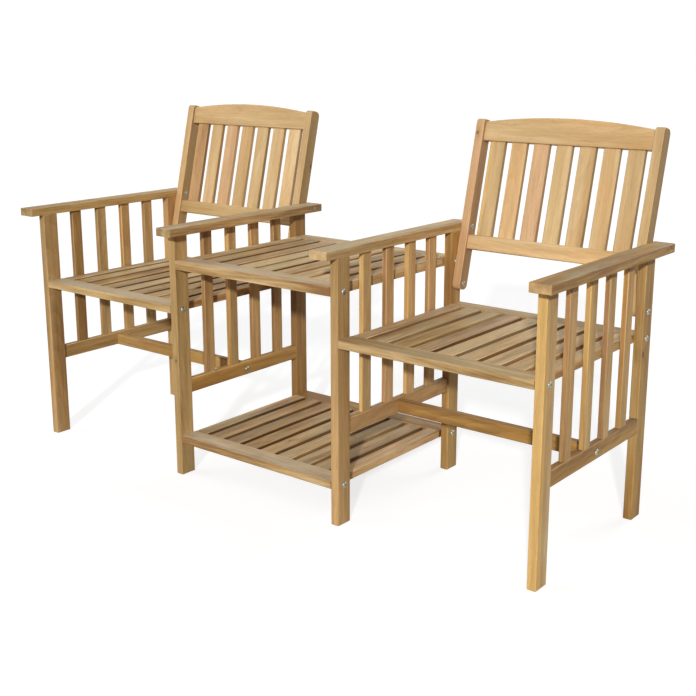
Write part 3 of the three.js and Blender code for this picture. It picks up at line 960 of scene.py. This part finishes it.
class BENCH_OT_panels(bpy.types.Operator):
    """Make both seats, the table top and the shelf"""

    bl_idname = "bench.panels"
    bl_label = "Slatted Panels"

    def execute(self, context):
        for panel in PANELS:
            for part in ("front_rail", "left_board", "right_board"):
                node = f"{panel}_{part}"
                # Front rails, all but the right seat's, get a painted pale sheen on top
                pale_sheened = part == "front_rail" and panel != "right_seat"
                finish = "panel_wood_silver" if pale_sheened else "panel_wood"
                wooden(node, [self.edge(context, panel, part, node)], "panel_wood", finish)
            node = f"{panel}_slatted_rear_rail"
            wooden(node, self.slats(context, panel, node), "panel_wood")
        return {"FINISHED"}

    def edge(self, context, panel, part, node):
        """The front rail or a side board, which runs from the front to the rear rail."""
        sizes = context.scene.bench_sizes
        low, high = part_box(node)
        along = X if part == "front_rail" else Y
        if along == Y:
            low.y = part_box(f"{panel}_front_rail")[1].y
            high.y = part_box(f"{panel}_slatted_rear_rail")[1].y - sizes.panel_rail_width
        if part == "left_board":
            high.x -= sizes.panel_board_trim
        if part == "right_board":
            low.x += sizes.panel_board_trim
        return board(along, low, high, look_of(node, panel), sizes.panel_arris)

    def slats(self, context, panel, node):
        """The rear rail and the slats that run from the front rail to it."""
        sizes = context.scene.bench_sizes
        low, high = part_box(node)
        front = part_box(f"{panel}_front_rail")[1].y
        rear = high.y - sizes.panel_rail_width
        rail_low = Vector((low.x, rear, low.z))
        made = [board(X, rail_low, high, look_of(node, panel), sizes.panel_arris)]
        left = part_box(f"{panel}_left_board")[1].x - sizes.panel_board_trim
        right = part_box(f"{panel}_right_board")[0].x + sizes.panel_board_trim
        slats = spaced(left, right, sizes.panel_slat_count, sizes.panel_slat_width)
        for index, (near, far) in enumerate(slats, 1):
            corners = Vector((near, front, low.z)), Vector((far, rear, high.z))
            made.append(board(Y, *corners, look_of(node, panel, index), sizes.panel_arris))
        return made


# Backrests


class BENCH_OT_backrests(bpy.types.Operator):
    """Make the stiles, arched top rails, bottom rails and slats of the backrests"""

    bl_idname = "bench.backrests"
    bl_label = "Backrests"

    def execute(self, context):
        for chair in CHAIRS:
            prefix = f"{chair}_chair_back"
            slats = sorted(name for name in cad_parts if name.startswith(f"{prefix}_slat_"))
            makers = (
                (self.stile, [f"{prefix}_{side}_stile" for side in SIDES]),
                (self.top_rail, [f"{prefix}_top_rail"]),
                (self.bottom_rail, [f"{prefix}_bottom_rail"]),
                (self.slat, slats),
            )
            for maker, nodes in makers:
                for node in nodes:
                    upright = maker(context.scene.bench_sizes, chair, node)
                    wooden(node, [leaned(upright, chair)], "backrest_wood")
        return {"FINISHED"}

    def across(self, chair, node):
        """A node's two ends along X, from the middle of its chair."""
        low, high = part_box(node)
        middle = lower_bolt(chair).x
        return low.x - middle, high.x - middle

    def rail(self, sizes, chair, bottom, height):
        """The two corners of a rail between the stiles, before it leans."""
        left = self.across(chair, f"{chair}_chair_back_left_stile")[1]
        right = self.across(chair, f"{chair}_chair_back_right_stile")[0]
        half = sizes.back_rail_thickness / 2
        return Vector((left, -half, bottom)), Vector((right, half, bottom + height))

    def stile(self, sizes, chair, node):
        left, right = self.across(chair, node)
        half = sizes.stile_depth / 2
        low = Vector((left, -half, -sizes.stile_below_bolt))
        high = Vector((right, half, sizes.stile_above_bolt))
        bm = cuboid(low, high)
        for corner, radius in (
            (Vector((half, high.z)), sizes.stile_back_radius),
            (Vector((-half, high.z)), sizes.stile_front_radius),
            (Vector((half, low.z)), sizes.stile_foot_radius),
            (Vector((-half, low.z)), sizes.stile_foot_radius),
        ):
            edges = axis_edges(bm, X)
            chosen = [edge for edge in edges if (edge.verts[0].co.yz - corner).length < TINY]
            rounded(bm, chosen, radius, STILE_STEPS)
        rounded(bm, rim_edges(bm, X), sizes.arris)
        stamp(bm, Z, low, high, look_of(node, "stile"), plate=X)
        return bm

    def top_rail(self, sizes, chair, node):
        low, high = self.rail(sizes, chair, sizes.top_rail_bottom, sizes.top_rail_height)
        bm = cuboid(low, high)
        lines = axis_edges(bm, X)
        bmesh.ops.subdivide_edges(bm, edges=lines, cuts=ARCH_CUTS, use_grid_fill=True)
        reach = (high.x - low.x) / 2
        middle = (high.x + low.x) / 2
        for vert in bm.verts:
            if abs(vert.co.z - high.z) < TINY:
                vert.co.z += sizes.top_rail_rise * (1 - ((vert.co.x - middle) / reach) ** 2)
        bm.normal_update()
        rounded(bm, rim_edges(bm, Y), sizes.arris)
        stamp(bm, X, low, high, look_of(node, "top_rail"), plate=Y)
        return bm

    def bottom_rail(self, sizes, chair, node):
        corners = self.rail(sizes, chair, sizes.bottom_rail_bottom, sizes.bottom_rail_height)
        return board(X, *corners, look_of(node, "bottom_rail"), sizes.arris)

    def slat(self, sizes, chair, node):
        left, right = self.across(chair, node)
        half = sizes.back_slat_thickness / 2
        bottom = sizes.bottom_rail_bottom + sizes.bottom_rail_height - sizes.housing
        low = Vector((left, -half, bottom))
        high = Vector((right, half, sizes.top_rail_bottom + sizes.housing))
        group, _, number = node.rpartition("_")
        look = look_of(f"{group}_", "back_slat", int(number) - 1)
        return board(Z, low, high, look, sizes.arris)


# Bolts


def turned_on_axis(bm, place, outward):
    """Points a piece that was made along Z out along X, either way, and puts it in place."""
    turn = Matrix.Rotation(math.radians(90.0 * outward), 4, "Y")
    bmesh.ops.transform(bm, matrix=Matrix.Translation(place) @ turn, verts=bm.verts)
    bm.normal_update()
    return bm


def domed_head(bolts, radius, height):
    """A dome with a hexagon socket, its seat at zero: a bolt's head or a sleeve nut's flange."""
    bm = bmesh.new()
    around, upward = DOME_STEPS
    bmesh.ops.create_uvsphere(bm, u_segments=around, v_segments=upward, radius=1.0)
    for level, cleared in ((0.0, "clear_inner"), (DOME_FLAT, "clear_outer")):
        bmesh.ops.bisect_plane(
            bm,
            geom=bm.verts[:] + bm.edges[:] + bm.faces[:],
            plane_co=(0.0, 0.0, level),
            plane_no=(0.0, 0.0, 1.0),
            **{cleared: True},
        )
    bmesh.ops.scale(bm, vec=(radius, radius, height), verts=bm.verts)
    for face in bm.faces:
        face.smooth = True
    rim = [edge for edge in bm.edges if edge.is_boundary]
    upper = [edge for edge in rim if edge.verts[0].co.z > height / 2]
    lower = [edge for edge in rim if edge not in upper]
    bmesh.ops.contextual_create(bm, geom=lower)
    top = bmesh.ops.contextual_create(bm, geom=upper)["faces"][0]
    top.smooth = False
    bmesh.ops.inset_individual(bm, faces=[top], thickness=radius * SOCKET_RING)
    step = math.radians(60.0)
    for vert in top.verts:
        turn = math.atan2(vert.co.y, vert.co.x)
        off = (turn % step) - step / 2
        reach = bolts.socket_radius * math.cos(step / 2) / math.cos(off)
        vert.co.x = math.cos(turn) * reach
        vert.co.y = math.sin(turn) * reach
    grown = bmesh.ops.extrude_discrete_faces(bm, faces=[top])["faces"][0]
    depth = min(bolts.socket_depth, height * SOCKET_MOST)
    bmesh.ops.translate(bm, vec=(0.0, 0.0, -depth), verts=grown.verts[:])
    bmesh.ops.recalc_face_normals(bm, faces=bm.faces[:])
    return bm


class BENCH_OT_bolts(bpy.types.Operator):
    """Put the bolts' heads and nuts on the side frames and backrests"""

    bl_idname = "bench.bolts"
    bl_label = "Bolts"

    def execute(self, context):
        finish = zinc_plating()
        for chair, side in SIDE_FRAMES:
            parts = self.side_bolts(context.scene.bench_bolts, chair, side)
            piece(f"{chair}_chair_{side}_bolts", parts, finish)
        return {"FINISHED"}

    def side_bolts(self, bolts, chair, side):
        prefix = f"{chair}_chair"
        outward = -1 if side == "left" else 1
        inner_face, outer_face = side_faces(f"{prefix}_{side}_front_leg", side)
        pivot = lower_bolt(chair)
        upper = arm_bolt(chair, side)
        made = []

        def head(x, y, z, way, radius=bolts.head_radius, height=bolts.head_height):
            dome = domed_head(bolts, radius, height)
            made.append(turned_on_axis(dome, Vector((x, y, z)), way))

        for end in ("front", "rear"):
            depth = centre(f"{prefix}_{side}_{end}_leg").y
            head(outer_face, depth, centre(f"{chair}_seat_front_rail").z, outward)
            if chair != side:
                for panel in ("table_top", "table_shelf"):
                    head(inner_face, depth, centre(f"{panel}_front_rail").z, -outward)
        stretcher = centre(f"{prefix}_stretcher")
        head(outer_face, stretcher.y, stretcher.z, outward)
        head(outer_face, pivot.y, pivot.z, outward)
        sunk = upper.x - outward * bolts.recess_depth
        head(sunk, upper.y, upper.z, outward, bolts.sunk_head_radius)
        stile_face, _ = side_faces(f"{prefix}_back_{side}_stile", side)
        for bolt in (pivot, upper):
            head(stile_face, bolt.y, bolt.z, -outward, bolts.nut_radius, bolts.nut_height)
        return made


# Stage


class BENCH_OT_stage(bpy.types.Operator):
    """Set up the floor, the light and the camera"""

    bl_idname = "bench.stage"
    bl_label = "Stage"

    def execute(self, context):
        stage = context.scene.bench_stage
        self.floor(stage)
        self.sky(context, stage)
        for name, (turn, spread) in SUNS.items():
            self.sun(context, f"{name}_sun", getattr(stage, name), turn, spread)
        self.camera(context, stage)
        context.scene.view_settings.view_transform = "Standard"
        return {"FINISHED"}

    def seen(self, tree):
        """One for the rays that the background shows in."""
        rays = tree.add("LightPath").outputs
        seen = tree.math("MAXIMUM", rays["Is Camera Ray"], rays["Is Glossy Ray"])
        return tree.math("MAXIMUM", seen, rays["Is Transmission Ray"])

    def floor(self, stage):
        bm = bmesh.new()
        bmesh.ops.create_grid(bm, x_segments=1, y_segments=1, size=stage.floor_size / 2)
        tree = Tree(bpy.data.materials.new("floor"))
        lit = tree.out("BsdfDiffuse", {"Color": (*stage.floor, 1.0)})
        glow = tree.out("Emission", {"Color": WHITE, "Strength": stage.floor_glow})
        shown = tree.out("AddShader", {0: lit, 1: glow})
        dull = tree.out("BsdfDiffuse", {"Color": (*stage.floor_bounce, 1.0)})
        mixed = tree.out("MixShader", {0: self.seen(tree), 1: dull, 2: shown})
        tree.add("OutputMaterial", {0: mixed})
        placed("floor", bm, tree.owner)

    def sky(self, context, stage):
        tree = Tree(bpy.data.worlds.new("sky"))
        context.scene.world = tree.owner
        light = tree.between(self.seen(tree), 0.0, 1.0, stage.sky, 1.0)
        tree.add("OutputWorld", {0: tree.out("Background", {0: WHITE, 1: light})})

    def sun(self, context, name, energy, turn, spread):
        light = bpy.data.lights.new(name, "SUN")
        light.energy = energy
        light.angle = math.radians(spread)
        lamp = bpy.data.objects.new(name, light)
        lamp.rotation_euler = [math.radians(degrees) for degrees in turn]
        context.scene.collection.objects.link(lamp)

    def camera(self, context, stage):
        data = bpy.data.cameras.new("camera")
        data.lens = stage.camera_lens
        data.sensor_width = 36.0
        data.sensor_fit = "HORIZONTAL"
        data.shift_x, data.shift_y = stage.camera_shift
        data.clip_end = 100.0
        camera = bpy.data.objects.new("camera", data)
        camera.location = stage.camera_place
        camera.rotation_euler = (math.radians(90.0) - stage.camera_dip, 0.0, stage.camera_turn)
        context.scene.collection.objects.link(camera)
        context.scene.camera = camera


class BENCH_PT_panel(bpy.types.Panel):
    """Everything that the bench is made of"""

    bl_label = "Garden Bench"
    bl_idname = "BENCH_PT_panel"
    bl_space_type = "VIEW_3D"
    bl_region_type = "UI"
    bl_category = "Garden Bench"

    def draw(self, context):
        for operator in OPERATORS:
            self.layout.operator(operator.bl_idname)
        for group in GROUPS:
            settings = getattr(context.scene, group)
            box = self.layout.box()
            for name in settings.bl_rna.properties.keys():
                if name not in ("rna_type", "name"):
                    box.prop(settings, name)


GROUPS = {
    "bench_sizes": BenchSizes,
    "bench_wood": BenchWood,
    "bench_bolts": BenchBolts,
    "bench_stage": BenchStage,
}
OPERATORS = (
    BENCH_OT_legs,
    BENCH_OT_armrests,
    BENCH_OT_side_rails,
    BENCH_OT_stretchers,
    BENCH_OT_panels,
    BENCH_OT_backrests,
    BENCH_OT_bolts,
    BENCH_OT_stage,
)
CLASSES = (*GROUPS.values(), *OPERATORS, BENCH_PT_panel)


def register():
    for entry in CLASSES:
        bpy.utils.register_class(entry)
    for name, group in GROUPS.items():
        setattr(bpy.types.Scene, name, PointerProperty(type=group))


def unregister():
    for name in GROUPS:
        delattr(bpy.types.Scene, name)
    for entry in reversed(CLASSES):
        bpy.utils.unregister_class(entry)


def main():
    register()
    bpy.ops.bench.legs()
    bpy.ops.bench.armrests()
    bpy.ops.bench.side_rails()
    bpy.ops.bench.stretchers()
    bpy.ops.bench.panels()
    bpy.ops.bench.backrests()
    bpy.ops.bench.bolts()
    bpy.ops.bench.stage()


if __name__ == "__main__":
    main()
